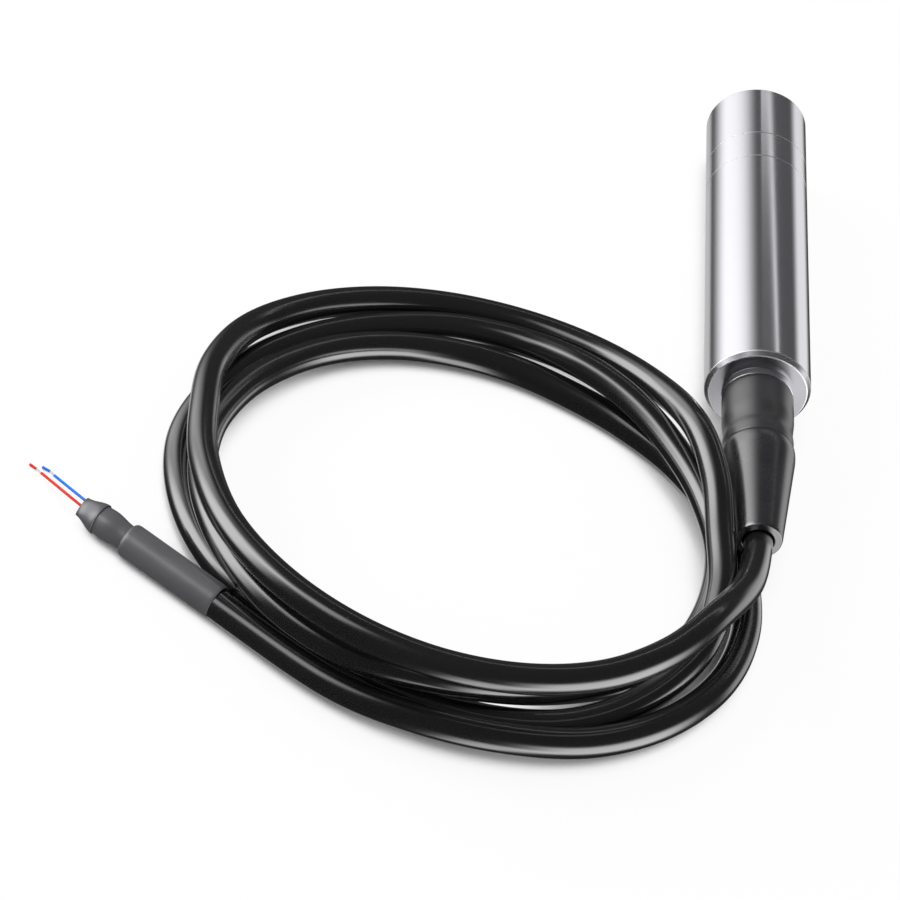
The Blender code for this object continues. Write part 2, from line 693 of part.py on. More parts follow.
# How far each wire leaves the cap from its axis, where the wire's window starts and ends, and
# where the wire ends, in mm.
WIRE_ENDS = {
    "wire_red": ("red_wire", 0.0, (-178.39, -103.01, 1.0), (-179.78, -101.82, 0.75),
                 (-181.49, -100.47, 0.45)),
    "wire_blue": ("blue_wire", 1.6, (-175.20, -102.94, 1.1), (-176.42, -101.62, 0.8),
                  (-178.35, -100.42, 0.45)),
}
for name, (look, side, bare, slug, tip) in WIRE_ENDS.items():
    bare, slug, tip = (Vector(p) * MM for p in (bare, slug, tip))
    beside = side * MM
    way = (slug - bare).normalized()
    tube(name, look, curve_through([
        end_point(shrink_start, beside),
        end_point(cap_start, beside),
        end_point(cap_end, beside),
        bare,
    ], 3), WIRE_RADIUS)
    tube(name + "_core", "tinned", [bare + way * BUTT, slug - way * BUTT], STRAND_RADIUS)
    tube(name + "_tip", look, [slug, tip], WIRE_RADIUS)
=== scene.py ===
# %% [markdown]
# # A submersible level transmitter
# A steel pressure probe lies on a pale floor, with its black cable in loose turns beside it.
# The solid model is loaded first as a fixed frame. Every surface below is then laid over it,
# in metres, with the probe along +Y and +Z up.

# %% Load the frame
import json
import math

import bpy
import numpy as np
from mathutils import Matrix


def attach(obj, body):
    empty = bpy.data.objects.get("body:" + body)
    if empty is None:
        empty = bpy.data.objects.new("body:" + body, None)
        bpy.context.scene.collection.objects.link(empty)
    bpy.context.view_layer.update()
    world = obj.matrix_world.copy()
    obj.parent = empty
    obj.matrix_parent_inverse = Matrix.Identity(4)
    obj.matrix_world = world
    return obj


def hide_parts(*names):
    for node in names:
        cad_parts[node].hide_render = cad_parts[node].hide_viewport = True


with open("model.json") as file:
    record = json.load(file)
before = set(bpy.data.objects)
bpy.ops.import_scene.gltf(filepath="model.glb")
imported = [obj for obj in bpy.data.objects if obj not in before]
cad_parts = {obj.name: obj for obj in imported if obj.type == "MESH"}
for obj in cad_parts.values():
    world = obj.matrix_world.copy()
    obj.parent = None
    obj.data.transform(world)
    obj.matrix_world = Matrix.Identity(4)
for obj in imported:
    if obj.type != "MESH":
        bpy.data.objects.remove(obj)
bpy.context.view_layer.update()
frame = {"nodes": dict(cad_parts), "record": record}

nodes = frame["nodes"]
print("solids:", len(nodes))

# %% [markdown]
# ## Sizes
# The probe is 28 mm across. All lengths along it are measured from the polished rear face,
# as they are in the solid model, so that each surface lies on its solid. The rear face is
# placed so that the probe, from the bend sleeve's mouth to the nose, is centred on the origin.

# %% Sizes of the probe
MM = 0.001
GAP = 0.3 * MM
PROBE_RADIUS = 14.0 * MM
PROBE_LENGTH = 110.4 * MM
HOUSING_LENGTH = 80.95 * MM
RING_LENGTH = 9.75 * MM
CABLE_RADIUS = 3.75 * MM
CABLE_BORE = CABLE_RADIUS + GAP
MOUTH = 54.7 * MM
AXIS_Z = PROBE_RADIUS
REAR_Y = -(PROBE_LENGTH - MOUTH) / 2

# %% [markdown]
# ## Camera
# A long lens far away keeps the probe's sides almost parallel, as in the photograph. The
# camera could be aimed at a target object, but a few angles say the same and can be read:
# it stands behind the probe, a little to its left, looks down by 43 degrees, and is rolled
# by 21 degrees, which makes the probe lean to the right in the picture.

# %% Camera
AZIMUTH = math.radians(-11.1598)
ELEVATION = math.radians(42.8967)
ROLL = math.radians(20.8861)
CAMERA_AT = np.array([-0.208293, -0.722449, 0.626362])


def camera_axes(azimuth, elevation, roll):
    """Right, up and back of a camera that looks back along its third axis, then rolls."""
    flat = math.cos(elevation)
    back = np.array([math.sin(azimuth) * flat, -math.cos(azimuth) * flat, math.sin(elevation)])
    level = np.array([math.cos(azimuth), math.sin(azimuth), 0.0])
    upright = np.cross(back, level)
    right = math.cos(roll) * level + math.sin(roll) * upright
    up = math.cos(roll) * upright - math.sin(roll) * level
    return right, up, back


camera_data = bpy.data.cameras.new("camera")
camera_data.sensor_width = 36.0
camera_data.lens = 144.398
camera_data.clip_end = 30.0
camera = bpy.data.objects.new("camera", camera_data)
turned_axes = np.array(camera_axes(AZIMUTH, ELEVATION, ROLL)).T
camera.matrix_world = Matrix.Translation(CAMERA_AT) @ Matrix(turned_axes.tolist()).to_4x4()
bpy.context.scene.collection.objects.link(camera)
bpy.context.scene.camera = camera
bpy.context.scene.view_settings.view_transform = "Standard"
print("camera at", CAMERA_AT)

# %% [markdown]
# ## Shader maths as expressions
# A procedural finish is mostly arithmetic on a few numbers. Wiring Math nodes by hand hides
# it, so a small class wraps a socket and lets Python's own operators add the nodes.

# %% A socket that can be reckoned with


class Value:
    """A number that varies over a surface. An operator on it adds one Math node."""

    def __init__(self, finish, socket):
        self.finish = finish
        self.socket = socket

    def reckon(self, operation, *others):
        """The result of one Math node on this number and the others."""
        made = self.finish.node("ShaderNodeMath", {"operation": operation},
                                dict(enumerate((self, *others))))
        return Value(self.finish, made.outputs[0])

    def __add__(self, other): return self.reckon("ADD", other)
    def __radd__(self, other): return self.reckon("ADD", other)
    def __sub__(self, other): return self.reckon("SUBTRACT", other)
    def __rsub__(self, other): return self.finish.number(other).reckon("SUBTRACT", self)
    def __mul__(self, other): return self.reckon("MULTIPLY", other)
    def __rmul__(self, other): return self.reckon("MULTIPLY", other)
    def __pow__(self, other): return self.reckon("POWER", other)
    def __gt__(self, other): return self.reckon("GREATER_THAN", other)
    def __lt__(self, other): return self.reckon("LESS_THAN", other)

    def step(self, low, high):
        """0 below low, 1 above high, and a smooth rise between."""
        made = self.finish.node("ShaderNodeMapRange", {"interpolation_type": "SMOOTHSTEP"},
                                {0: self, 1: low, 2: high, 3: 0.0, 4: 1.0})
        return Value(self.finish, made.outputs[0])

    def window(self, low, high, soft):
        """1 between low and high, 0 outside them, with soft edges."""
        return self.step(low - soft, low + soft) * (1.0 - self.step(high - soft, high + soft))


class Finish:
    """A node tree with one method for any node, and short names for the usual ones."""

    def __init__(self, name, tree=None):
        if tree is None:
            self.material = bpy.data.materials.new(name)
            self.material.use_nodes = True
            tree = self.material.node_tree
        self.tree = tree
        self.shader = next((n for n in tree.nodes if n.type == "BSDF_PRINCIPLED"), None)

    def node(self, kind, settings=None, inputs=None):
        """A node of this kind. Its settings come first, then the values or links put in."""
        made = self.tree.nodes.new(kind)
        for key, value in (settings or {}).items():
            setattr(made, key, value)
        for key, value in (inputs or {}).items():
            self.put(made.inputs[key], value)
        return made

    def put(self, socket, value):
        """Link a value to a socket, or set the socket's own number or colour."""
        source = getattr(value, "socket", value)
        if isinstance(source, bpy.types.NodeSocket):
            self.tree.links.new(source, socket)
        elif isinstance(source, (tuple, list)) and len(source) == 3 and socket.type == "RGBA":
            socket.default_value = (*source, 1.0)
        else:
            socket.default_value = source

    def number(self, value):
        """A plain number as a Value, for sums that start with one."""
        made = self.node("ShaderNodeMath", {"operation": "ADD"}, {0: value, 1: 0.0})
        return Value(self, made.outputs[0])

    def place(self):
        """Object coordinates, as a vector socket."""
        return self.node("ShaderNodeTexCoord").outputs["Object"]

    def split(self, vector):
        """The three parts of a vector."""
        made = self.node("ShaderNodeSeparateXYZ", inputs={0: vector})
        return [Value(self, made.outputs[k]) for k in range(3)]

    def along_piece(self):
        """The piece's own map: distance along it, and the share of the way round it."""
        made = self.node("ShaderNodeUVMap", {"uv_map": "along"})
        return self.split(made.outputs[0])

    def noise(self, scale, detail=2.0):
        """Even noise from 0 to 1, with so many bumps to the metre."""
        made = self.node("ShaderNodeTexNoise", {"noise_dimensions": "3D"},
                         {"Vector": self.place(), "Scale": scale, "Detail": detail})
        return Value(self, made.outputs[0])

    def lines(self, where, scale, detail=2.0):
        """Noise along one number only, which draws parallel lines."""
        made = self.node("ShaderNodeTexNoise", {"noise_dimensions": "1D"},
                         {"W": where, "Scale": scale, "Detail": detail})
        return Value(self, made.outputs[0])

    def blend(self, share, first, second):
        """A colour between two others."""
        made = self.node("ShaderNodeMix", {"data_type": "RGBA"}, {0: share, 6: first, 7: second})
        return made.outputs[2]

    def bump(self, height, strength, distance):
        """A normal tilted by a height from 0 to 1, which stands for so many metres."""
        inputs = {"Height": height, "Strength": strength, "Distance": distance}
        return self.node("ShaderNodeBump", inputs=inputs).outputs[0]

    def surface(self, **sockets):
        """Set the shader's sockets by name, with _ for a space."""
        for key, value in sockets.items():
            self.put(self.shader.inputs[key.replace("_", " ")], value)
        return self.material


print("shader helpers ready")

# %% [markdown]
# ## Surfaces from grids
# Every round piece here is a grid of points: one parameter runs along it, the other round it.
# numpy works out the whole grid at once, and one function turns any grid into a mesh.

# %% Grid to mesh


def grid_mesh(name, grid, ring=False, sharp=35.0, along=None):
    """A mesh from a grid of points, rows by columns, whose columns always join up.

    The first and last rows join each other if ring is true. Otherwise each is closed by a
    fan to the middle of its row. along gives each row's distance, for the piece's own map.
    """
    rows, columns = grid.shape[:2]
    points = grid.reshape(-1, 3)
    index = np.arange(rows * columns).reshape(rows, columns)
    upper = np.roll(index, -1, axis=0) if ring else index[1:]
    lower = index if ring else index[:-1]
    quads = np.stack([lower, np.roll(lower, -1, axis=1), np.roll(upper, -1, axis=1), upper], -1)
    quads = quads.reshape(-1, 4)
    faces = quads.tolist()
    if not ring:
        ends = grid[[0, -1]].mean(axis=1)
        points = np.vstack([points, ends])
        first, last = rows * columns, rows * columns + 1
        start, stop = index[0], index[-1]
        fans = np.vstack([
            np.stack([np.roll(start, -1), start, np.full(columns, first)], -1),
            np.stack([stop, np.roll(stop, -1), np.full(columns, last)], -1),
        ])
        faces += fans.tolist()
    mesh = bpy.data.meshes.new(name)
    mesh.from_pydata(points.tolist(), [], faces)
    if along is not None:
        share = np.arange(columns) / columns
        after = share + 1.0 / columns
        count = rows if ring else rows - 1
        near = np.repeat(along[:count], columns)
        far = np.repeat(np.append(along, along[0])[1:count + 1], columns)
        left, right = np.tile(share, count), np.tile(after, count)
        corners = np.stack([np.stack([near, left], -1), np.stack([near, right], -1),
                            np.stack([far, right], -1), np.stack([far, left], -1)], 1)
        flat = np.zeros((len(mesh.loops), 2))
        flat[:len(quads) * 4] = corners.reshape(-1, 2)
        mesh.uv_layers.new(name="along").data.foreach_set("uv", flat.ravel())
    if signed_volume(points, quads) < 0:
        mesh.flip_normals()
    mesh.shade_smooth()
    mesh.set_sharp_from_angle(angle=math.radians(sharp))
    return mesh


def signed_volume(points, quads):
    """Six times the volume inside the quads: a sum of triple products of their corners."""
    a, b, c, d = (points[quads[:, k]] for k in range(4))
    return np.einsum("ij,ij->", a, np.cross(b, c)) + np.einsum("ij,ij->", a, np.cross(c, d))


def piece(name, mesh, finish, slot, *stands_for):
    """Put a mesh in the scene as a piece that rides on the part."""
    made = bpy.data.objects.new(name, mesh)
    bpy.context.scene.collection.objects.link(made)
    mesh.materials.clear()
    mesh.materials.append(finish)
    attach(made, "root")
    if stands_for:
        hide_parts(*stands_for)
    print(name, len(mesh.polygons), "faces")
    return made


# %% [markdown]
# A turned piece has a profile, a list of radius and distance pairs. On a real lathe every
# corner is broken a little, and that thin rounded edge catches the light. A Bevel modifier
# could do it. Here each corner is a short curve instead, with a close row on both sides that
# keeps the flat faces flat when they are shaded smooth.

# %% Turned pieces


def eased(profile, cut, closed=True, steps=6):
    """The profile with each corner P replaced by the curve (1-t)^2 A + 2t(1-t) P + t^2 B.

    A and B lie on the two edges, at the distance cut from the corner, or at 0.4 of a short
    edge. Open profiles keep their two end points.
    """
    p = np.array(profile, float)
    cut = np.broadcast_to(np.asarray(cut, float), len(p))
    before, after = np.roll(p, 1, axis=0) - p, np.roll(p, -1, axis=0) - p
    long_before = np.linalg.norm(before, axis=1)
    long_after = np.linalg.norm(after, axis=1)
    a = p + before * (np.minimum(cut, 0.4 * long_before) / long_before)[:, None]
    b = p + after * (np.minimum(cut, 0.4 * long_after) / long_after)[:, None]
    t = np.linspace(0.0, 1.0, steps)[None, :, None]
    curve = (1 - t)**2 * a[:, None] + 2 * t * (1 - t) * p[:, None] + t**2 * b[:, None]
    lead = a + (a - p) * 0.2
    tail = b + (b - p) * 0.2
    rows = np.concatenate([lead[:, None], curve, tail[:, None]], axis=1)
    if closed:
        return rows.reshape(-1, 2)
    return np.vstack([p[:1], rows[1:-1].reshape(-1, 2), p[-1:]])


def turned_grid(profile, sides, turn=None, at=None):
    """Each point (radius, s) of the profile swept round an axis: s along it, radius off it.

    turn holds the directions of the two radial axes and of the axis itself, as columns.
    """
    a = np.arange(sides) * math.tau / sides
    radius, s = profile[:, 0][:, None], profile[:, 1][:, None]
    local = np.stack([radius * np.cos(a), radius * np.sin(a), s + 0 * a], -1)
    if turn is None:
        turn = np.array([[1.0, 0, 0], [0, 0, 1.0], [0, 1.0, 0]]).T
        at = np.array([0.0, REAR_Y, AXIS_Z])
    return local @ np.asarray(turn).T + at


def lathe(name, profile, cut, sides, closed=True, turn=None, at=None):
    """A turned mesh. A closed profile makes a ring, an open one a solid of revolution."""
    grid = turned_grid(eased(profile, cut, closed), sides, turn, at)
    if not closed:
        grid = grid[1:-1]
    return grid_mesh(name, grid, ring=closed)


print("a square of side 1 gets", len(eased([(0, 0), (0, 1), (1, 1), (1, 0)], 0.1)), "points")

# %% [markdown]
# ## Cable route
# The cable is one length from the bend sleeve to its far end. Its turns wander over each
# other, so their radius and height are given every 30 degrees, and a smooth curve
# runs through those stations. A spiral formula would look machine-wound.

# %% Cable route
COIL_CENTRE = np.array([-71.5, -84.15]) * MM
COIL_STEP = 30.0
COIL_END = 1198.0
POINTS_PER_TURN = 22
COIL_ROUTE = np.array([
    # first turn, from the bend sleeve: over the top, then down to the outside
    (71.5, 14.0), (69.0, 24.5), (71.5, 24.5), (73.5, 24.5), (74.5, 23.5), (74.5, 21.0),
    (72.0, 17.5), (74.5, 10.0), (73.0, 6.0), (72.0, 5.0), (69.0, 10.0), (62.5, 19.2),
    # second turn: along the floor at the front and the left
    (60.8, 16.0), (68.0, 11.0), (69.5, 4.5), (68.5, 4.0), (66.5, 4.0), (73.0, 4.0),
    (75.0, 4.0), (69.0, 4.0), (65.0, 4.0), (63.5, 6.0), (58.5, 12.0), (58.5, 11.5),
    # third turn: over the second at the front, innermost at the back
    (63.2, 8.0), (63.5, 4.0), (60.5, 5.5), (66.0, 12.0), (72.5, 12.5), (73.0, 12.5),
    (69.0, 10.0), (61.5, 8.0), (57.0, 5.5), (54.5, 4.5), (55.5, 3.9), (62.5, 3.8),
    # last part turn: the outermost at the front
    (70.5, 3.8), (76.5, 5.5), (77.5, 6.0), (76.0, 7.0), (76.0, 5.0), (77.0, 3.8),
]) * MM
END_MOUTH = np.array([-131.9, -135.35, 4.45]) * MM
END_DIRECTION = np.array([-0.861, 0.509, 0.0])
END_DIRECTION = END_DIRECTION / np.linalg.norm(END_DIRECTION)
LEAD_IN = (-33.0, -40.0, -47.5, -55.2)      # mm from the rear face, through the bend sleeve
FINE = 12                                   # steps of the path between two of its stops


def spline(values, where):
    """Catmull-Rom curve through values at the numbers 0, 1, 2 and so on."""
    values = np.asarray(values, float)
    padded = np.concatenate([values[:1], values, values[-1:]])
    k = np.minimum(where.astype(int), len(values) - 2)
    u = (where - k).reshape(-1, *[1] * (values.ndim - 1))
    a, b, c, d = (padded[k + n] for n in range(4))
    return 0.5 * (2 * b + (c - a) * u + (2 * a - 5 * b + 4 * c - d) * u**2
                  + (3 * b - a - 3 * c + d) * u**3)


def end_point(distance):
    """A point on the axis of the far end, past its sleeve's mouth."""
    return END_MOUTH + END_DIRECTION * distance


def distances(path):
    """How far along the path each of its points lies."""
    return np.append(0.0, np.cumsum(np.linalg.norm(np.diff(path, axis=0), axis=1)))


count = int(COIL_END / 360.0 * POINTS_PER_TURN)
angle = np.arange(1, count + 1) * 360.0 / POINTS_PER_TURN
station = spline(COIL_ROUTE, angle / COIL_STEP)
turning = np.radians(-angle)
coil_points = np.stack([
    COIL_CENTRE[0] + station[:, 0] * np.cos(turning),
    COIL_CENTRE[1] + station[:, 0] * np.sin(turning),
    np.maximum(station[:, 1], CABLE_RADIUS),
], -1)
lead_in = np.array([[0.0, REAR_Y + s * MM, AXIS_Z] for s in LEAD_IN])
lead_out = np.array([
    end_point(-4.0 * MM) + np.array([-0.3, -0.5, 0.0]) * MM,
    end_point(6.0 * MM),
    end_point(18.0 * MM),
])
stops = np.vstack([lead_in, coil_points, lead_out])
cable_path = spline(stops, np.linspace(0.0, len(stops) - 1.0, (len(stops) - 1) * FINE + 1))
cable_path[:, 2] = np.maximum(cable_path[:, 2], CABLE_RADIUS)

# %% [markdown]
# ## Tubes along a path
# A cable or wire is a circle carried along its path. Each circle stands square to the path:
# one of its axes is level, the other is square to both. That frame never flips here, because
# no path stands upright.

# %% Tube


def tube_grid(path, radius, sides):
    """Circles square to the path: P + radius (cos a * level + sin a * upright)."""
    way = np.gradient(path, axis=0)
    way /= np.linalg.norm(way, axis=1)[:, None]
    level = np.cross(way, [0.0, 0.0, 1.0])
    level /= np.linalg.norm(level, axis=1)[:, None]
    upright = np.cross(level, way)
    a = np.arange(sides) * math.tau / sides
    wide = np.broadcast_to(radius, (len(path), sides))[..., None]
    around = level[:, None] * np.cos(a)[:, None] + upright[:, None] * np.sin(a)[:, None]
    return path[:, None] + wide * around


def tube(name, path, radius, sides):
    """A closed tube mesh whose map holds the distance along it in metres."""
    return grid_mesh(name, tube_grid(path, radius, sides), sharp=60.0, along=distances(path))


print("tube helper ready")

# %% [markdown]
# ## Finishes
# The probe is turned stainless steel with a fine polish. Turning leaves rings that run round
# it, so the reflections stretch along it. The lines follow the distance along the probe on
# its sides and the distance from its axis on its flat faces, so one sum serves both.

# %% Steel
STEEL_SHARE = 0.945                # the rest scatters light, as fine scratches do
# pale colour painted on the rim and seam edges as a highlight
PAINTED_EDGE_HIGHLIGHT = (0.98, 0.98, 0.98)
CUT_FACE = (0.34, 0.34, 0.36)


def turned_steel(name, colour, roughness, rear_end=None, seams=()):
    """Steel with fine rings: a line pattern along s + r changes roughness and height.

    rear_end is the y of the housing's rear face. The face, its rim and the neck behind it are
    cut with a coarser tool than the polished side. The rim's two edges and the edges at each
    y in seams get a painted highlight: a pale band in the colour, and more roughness.
    """
    finish = Finish(name)
    x, y, z = finish.split(finish.place())
    off_axis = (x * x + (z - AXIS_Z) ** 2.0) ** 0.5
    rings = finish.lines(y + off_axis, 16000.0, 3.0)
    broad = finish.lines(y + off_axis, 900.0, 2.0)
    smudge = finish.noise(70.0, 3.0)
    rough = roughness + 0.04 * (rings - 0.5) + 0.03 * (smudge - 0.5)
    tone = finish.blend(broad * 0.5 + smudge * 0.5, tuple(c * 0.94 for c in colour), colour)
    # edge gathers the rim and seam edges that get a painted highlight
    edge = finish.number(0.0)
    for seam in seams:
        edge = edge + y.window(seam - 0.16 * MM, seam + 0.16 * MM, 0.04 * MM)
    if rear_end is not None:
        behind = y < rear_end + 1.25 * MM
        face = behind * (y > rear_end - 0.35 * MM) * (off_axis < 12.8 * MM)
        edge = edge + y.window(rear_end + 1.15 * MM, rear_end + 1.45 * MM, 0.04 * MM)
        edge = edge + off_axis.window(12.85 * MM, 13.12 * MM, 0.04 * MM) * behind
        rough = rough + behind * 0.13
        tone = finish.blend(face, tone, CUT_FACE)
    rough = rough + edge * 0.30
    # painted highlight: these edges are blended towards a pale colour
    tone = finish.blend(edge, tone, PAINTED_EDGE_HIGHLIGHT)
    normal = finish.bump(rings, 0.08, 0.003 * MM)
    return finish.surface(Base_Color=tone, Metallic=STEEL_SHARE, Roughness=rough, Normal=normal)


FIRST_SEAM = REAR_Y + HOUSING_LENGTH + GAP / 2
SECOND_SEAM = FIRST_SEAM + GAP + RING_LENGTH
both = (FIRST_SEAM, SECOND_SEAM)
steel = turned_steel("turned_steel", (0.82, 0.81, 0.85), 0.12, rear_end=REAR_Y, seams=both)
cap_steel = turned_steel("cap_steel", (0.81, 0.80, 0.84), 0.12, seams=both)
print("steel ready")

# %% [markdown]
# Black plastics and rubbers differ mainly in gloss. The jacket is smooth and shiny with
# faint extrusion lines. The shrink tubes are satin, and the bend sleeve is moulded rubber
# with a fine grain.

# %% Black finishes


def black_rubber(name, colour, roughness, grain, ior):
    """Satin black with a fine grain and slow changes of gloss."""
    finish = Finish(name)
    fine = finish.noise(grain, 2.0)
    slow = finish.noise(140.0, 3.0)
    tone = finish.blend(slow, colour, tuple(c * 1.5 for c in colour))
    rough = roughness + 0.08 * (slow - 0.5) + 0.06 * (fine - 0.5)
    normal = finish.bump(fine, 0.15, 0.008 * MM)
    return finish.surface(Base_Color=tone, Roughness=rough, Normal=normal, IOR=ior)


def cable_jacket(name):
    """Glossy black with faint lines along it and a few dull, rubbed stretches."""
    finish = Finish(name)
    drawn = finish.lines(finish.along_piece()[1], 60.0, 2.0)
    rubbed = finish.noise(45.0, 3.0)
    fine = finish.noise(2500.0, 2.0)
    tone = finish.blend(rubbed, (0.004, 0.004, 0.005), (0.008, 0.008, 0.009))
    rough = 0.17 + 0.08 * rubbed + 0.03 * (drawn - 0.5)
    normal = finish.bump(drawn * 0.2 + fine * 0.8, 0.05, 0.008 * MM)
    return finish.surface(Base_Color=tone, Roughness=rough, Normal=normal, IOR=2.2,
                          Coat_Weight=1.0, Coat_Roughness=0.12)


boot_finish = black_rubber("shrink_boot_finish", (0.020, 0.020, 0.022), 0.34, 3000.0, 2.2)
sleeve_finish = black_rubber("bend_sleeve_finish", (0.013, 0.013, 0.015), 0.26, 5000.0, 2.8)
end_finish = black_rubber("end_sleeve_finish", (0.078, 0.077, 0.083), 0.36, 6000.0, 2.0)
jacket_finish = cable_jacket("cable_jacket")
print("black finishes ready")

# %% [markdown]
# ## Cable
# The jacket is one smooth tube along the route. A curve object with a bevel would do, but a
# grid gives a map along the cable, which the drawn lines need.

# %% Cable
cable = piece("cable_jacket", tube("cable_jacket", cable_path, CABLE_RADIUS, 28),
              jacket_finish, "jacket", "cable")
inner_path = np.array([[0.0, REAR_Y + s * MM, AXIS_Z] for s in np.linspace(12.0, -32.7, 24)])
piece("cable_in_gland", tube("cable_in_gland", inner_path, CABLE_RADIUS, 28),
      jacket_finish, "jacket", "cable")

# %% [markdown]
# ## Housing and sensor body
# The housing, the sensor ring and the nose cap are one line of turned steel, told apart by
# two thin seams. The housing's rear edge has a chamfer, and its rear face is cut less
# finely than the side; the collar of the cable neck stands on that face. The chamfer's two
# edges and the seam edges carry a painted highlight, a pale band in the steel's colour.

# %% Housing
REAR_WALL = 6.0 * MM
BORE = 12.0 * MM
POCKET = 6.5 * MM
CLOSE = 0.12 * MM                  # each piece nears its neighbour by this much at a seam
housing_profile = [
    (PROBE_RADIUS, HOUSING_LENGTH + CLOSE), (PROBE_RADIUS, 1.3 * MM), (13.0 * MM, 0.0),
    (9.3 * MM, -0.25 * MM), (9.3 * MM, -2.4 * MM), (8.6 * MM, -2.4 * MM), (8.6 * MM, -14.0 * MM),
    (POCKET, -14.0 * MM), (POCKET, 2.0 * MM), (4.2 * MM, 2.0 * MM), (4.2 * MM, REAR_WALL),
    (BORE, REAR_WALL), (BORE, HOUSING_LENGTH + CLOSE),
]
housing_cut = np.array([0.06] + [0.16] * 12) * MM
piece("housing_shell", lathe("housing_shell", housing_profile, housing_cut, sides=160),
      steel, "steel", "housing")

# %% Sensor body
body_rear = HOUSING_LENGTH + GAP
body_front = body_rear + RING_LENGTH
spigot_rear = HOUSING_LENGTH - 8.0 * MM
spigot_front = body_front + 8.0 * MM
pocket_floor = spigot_front - 13.0 * MM
groove = [HOUSING_LENGTH - 1.5 * MM, HOUSING_LENGTH - 3.9 * MM]
body_profile = [
    (11.4 * MM, spigot_front), (11.4 * MM, body_front + CLOSE),
    (PROBE_RADIUS, body_front + CLOSE), (PROBE_RADIUS, body_rear - CLOSE),
    (11.7 * MM, body_rear - CLOSE), (11.7 * MM, groove[0]),
    (10.2 * MM, groove[0]), (10.2 * MM, groove[1]), (11.7 * MM, groove[1]),
    (11.7 * MM, spigot_rear), (6.5 * MM, spigot_rear), (6.5 * MM, pocket_floor),
    (9.8 * MM, pocket_floor), (9.8 * MM, spigot_front),
]
piece("sensor_ring", lathe("sensor_ring", body_profile, 0.06 * MM, sides=160),
      steel, "steel", "sensor_body")

# %% [markdown]
# ## Nose cap
# The cap is screwed over the sensor body and lets the liquid in through one middle hole and
# six round it. The holes are cut with a Boolean, which is the simplest way to a flat face
# with round holes, and the result is kept as a plain mesh.

# %% Nose cap
cap_back = body_front + GAP
cap_floor = PROBE_LENGTH - 3.9 * MM
INLET_CIRCLE = 7.0 * MM
MIDDLE_INLET, OUTER_INLET = 2.5 * MM, 1.5 * MM
cap_profile = [
    (0.0, PROBE_LENGTH), (13.7 * MM, PROBE_LENGTH), (PROBE_RADIUS, PROBE_LENGTH - 0.3 * MM),
    (PROBE_RADIUS, cap_back - CLOSE), (11.7 * MM, cap_back - CLOSE), (11.7 * MM, cap_floor),
    (0.0, cap_floor),
]


def drilled(name, mesh, holes, depth, at_s):
    """The mesh with round holes along the probe's axis, each (x, up, radius)."""
    body = bpy.data.objects.new(name + "_blank", mesh)
    bpy.context.scene.collection.objects.link(body)
    drills = []
    for x, up, radius in holes:
        ends = np.array([[x, REAR_Y + at_s + side * depth, AXIS_Z + up] for side in (-1, 1)])
        drill = bpy.data.objects.new("drill", tube("drill", ends, radius, 40))
        bpy.context.scene.collection.objects.link(drill)
        cut = body.modifiers.new("cut", "BOOLEAN")
        cut.operation = "DIFFERENCE"
        cut.solver = "EXACT"
        cut.object = drill
        drills.append(drill)
    graph = bpy.context.evaluated_depsgraph_get()
    made = bpy.data.meshes.new_from_object(body.evaluated_get(graph), depsgraph=graph)
    for old in (body, *drills):
        bpy.data.objects.remove(old)
    made.name = name
    made.shade_smooth()
    made.set_sharp_from_angle(angle=math.radians(35.0))
    return made


inlets = [(0.0, 0.0, MIDDLE_INLET)] + [
    (INLET_CIRCLE * math.cos(a), INLET_CIRCLE * math.sin(a), OUTER_INLET)
    for a in np.arange(6) * math.tau / 6
]
cap_blank = lathe("nose_cap_blank", cap_profile, 0.06 * MM, closed=False, sides=160)
cap_mesh = drilled("nose_cap_shell", cap_blank, inlets, 6.0 * MM, PROBE_LENGTH - 2.0 * MM)
piece("nose_cap_shell", cap_mesh, cap_steel, "steel", "nose_cap")

# %% [markdown]
# ## Boot and bend sleeve
# A satin heat-shrink boot seals the neck. It has drawn in a little over the end of the steel,
# which leaves a soft dip before its rolled edge. Behind it the moulded sleeve tapers towards
# the cable and keeps it from kinking.

# %% Boot and bend sleeve


def rise_between(s, start, stop):
    """0 at start, 1 at stop, smooth between: 3t^2 - 2t^3."""
    t = np.clip((s - start) / (stop - start), 0.0, 1.0)
    return t * t * (3 - 2 * t)


skin = np.linspace(-3.4, -22.0, 60)
waist = 9.42 - 0.40 * rise_between(skin, -11.5, -17.0) + 0.22 * rise_between(skin, -17.2, -19.6)
waist = waist - 0.12 * rise_between(skin, -20.0, -22.0)
boot_profile = [(9.2 * MM, -2.7 * MM)] + list(zip(waist * MM, skin * MM)) + [
    (9.02 * MM, -22.42 * MM), (8.6 * MM, -22.42 * MM), (8.6 * MM, -17.5 * MM),
    (8.9 * MM, -14.0 * MM), (8.9 * MM, -2.7 * MM),
]
piece("neck_boot", lathe("neck_boot", boot_profile, 0.1 * MM, sides=128),
      boot_finish, "shrink", "shrink_boot")

sleeve_profile = [
    (9.05 * MM, -22.5 * MM), (9.55 * MM, -23.3 * MM), (9.65 * MM, -25.7 * MM),
    (6.22 * MM, -54.0 * MM), (5.95 * MM, -54.7 * MM), (CABLE_BORE, -54.7 * MM),
    (CABLE_BORE, -29.3 * MM), (6.9 * MM, -29.3 * MM), (6.9 * MM, -22.5 * MM),
]
sleeve_cut = np.array([0.1, 0.9, 2.0, 0.5, 0.2, 0.3, 0.1, 0.1, 0.1]) * MM
piece("cone_sleeve", lathe("cone_sleeve", sleeve_profile, sleeve_cut, sides=128),
      sleeve_finish, "rubber", "bend_sleeve")

# %% [markdown]
# ## Far end of the cable
# A dark sleeve holds the last centimetres of the jacket. A thinner tube comes out of it, and
# a short cap on that is pinched flat where the two wires leave.

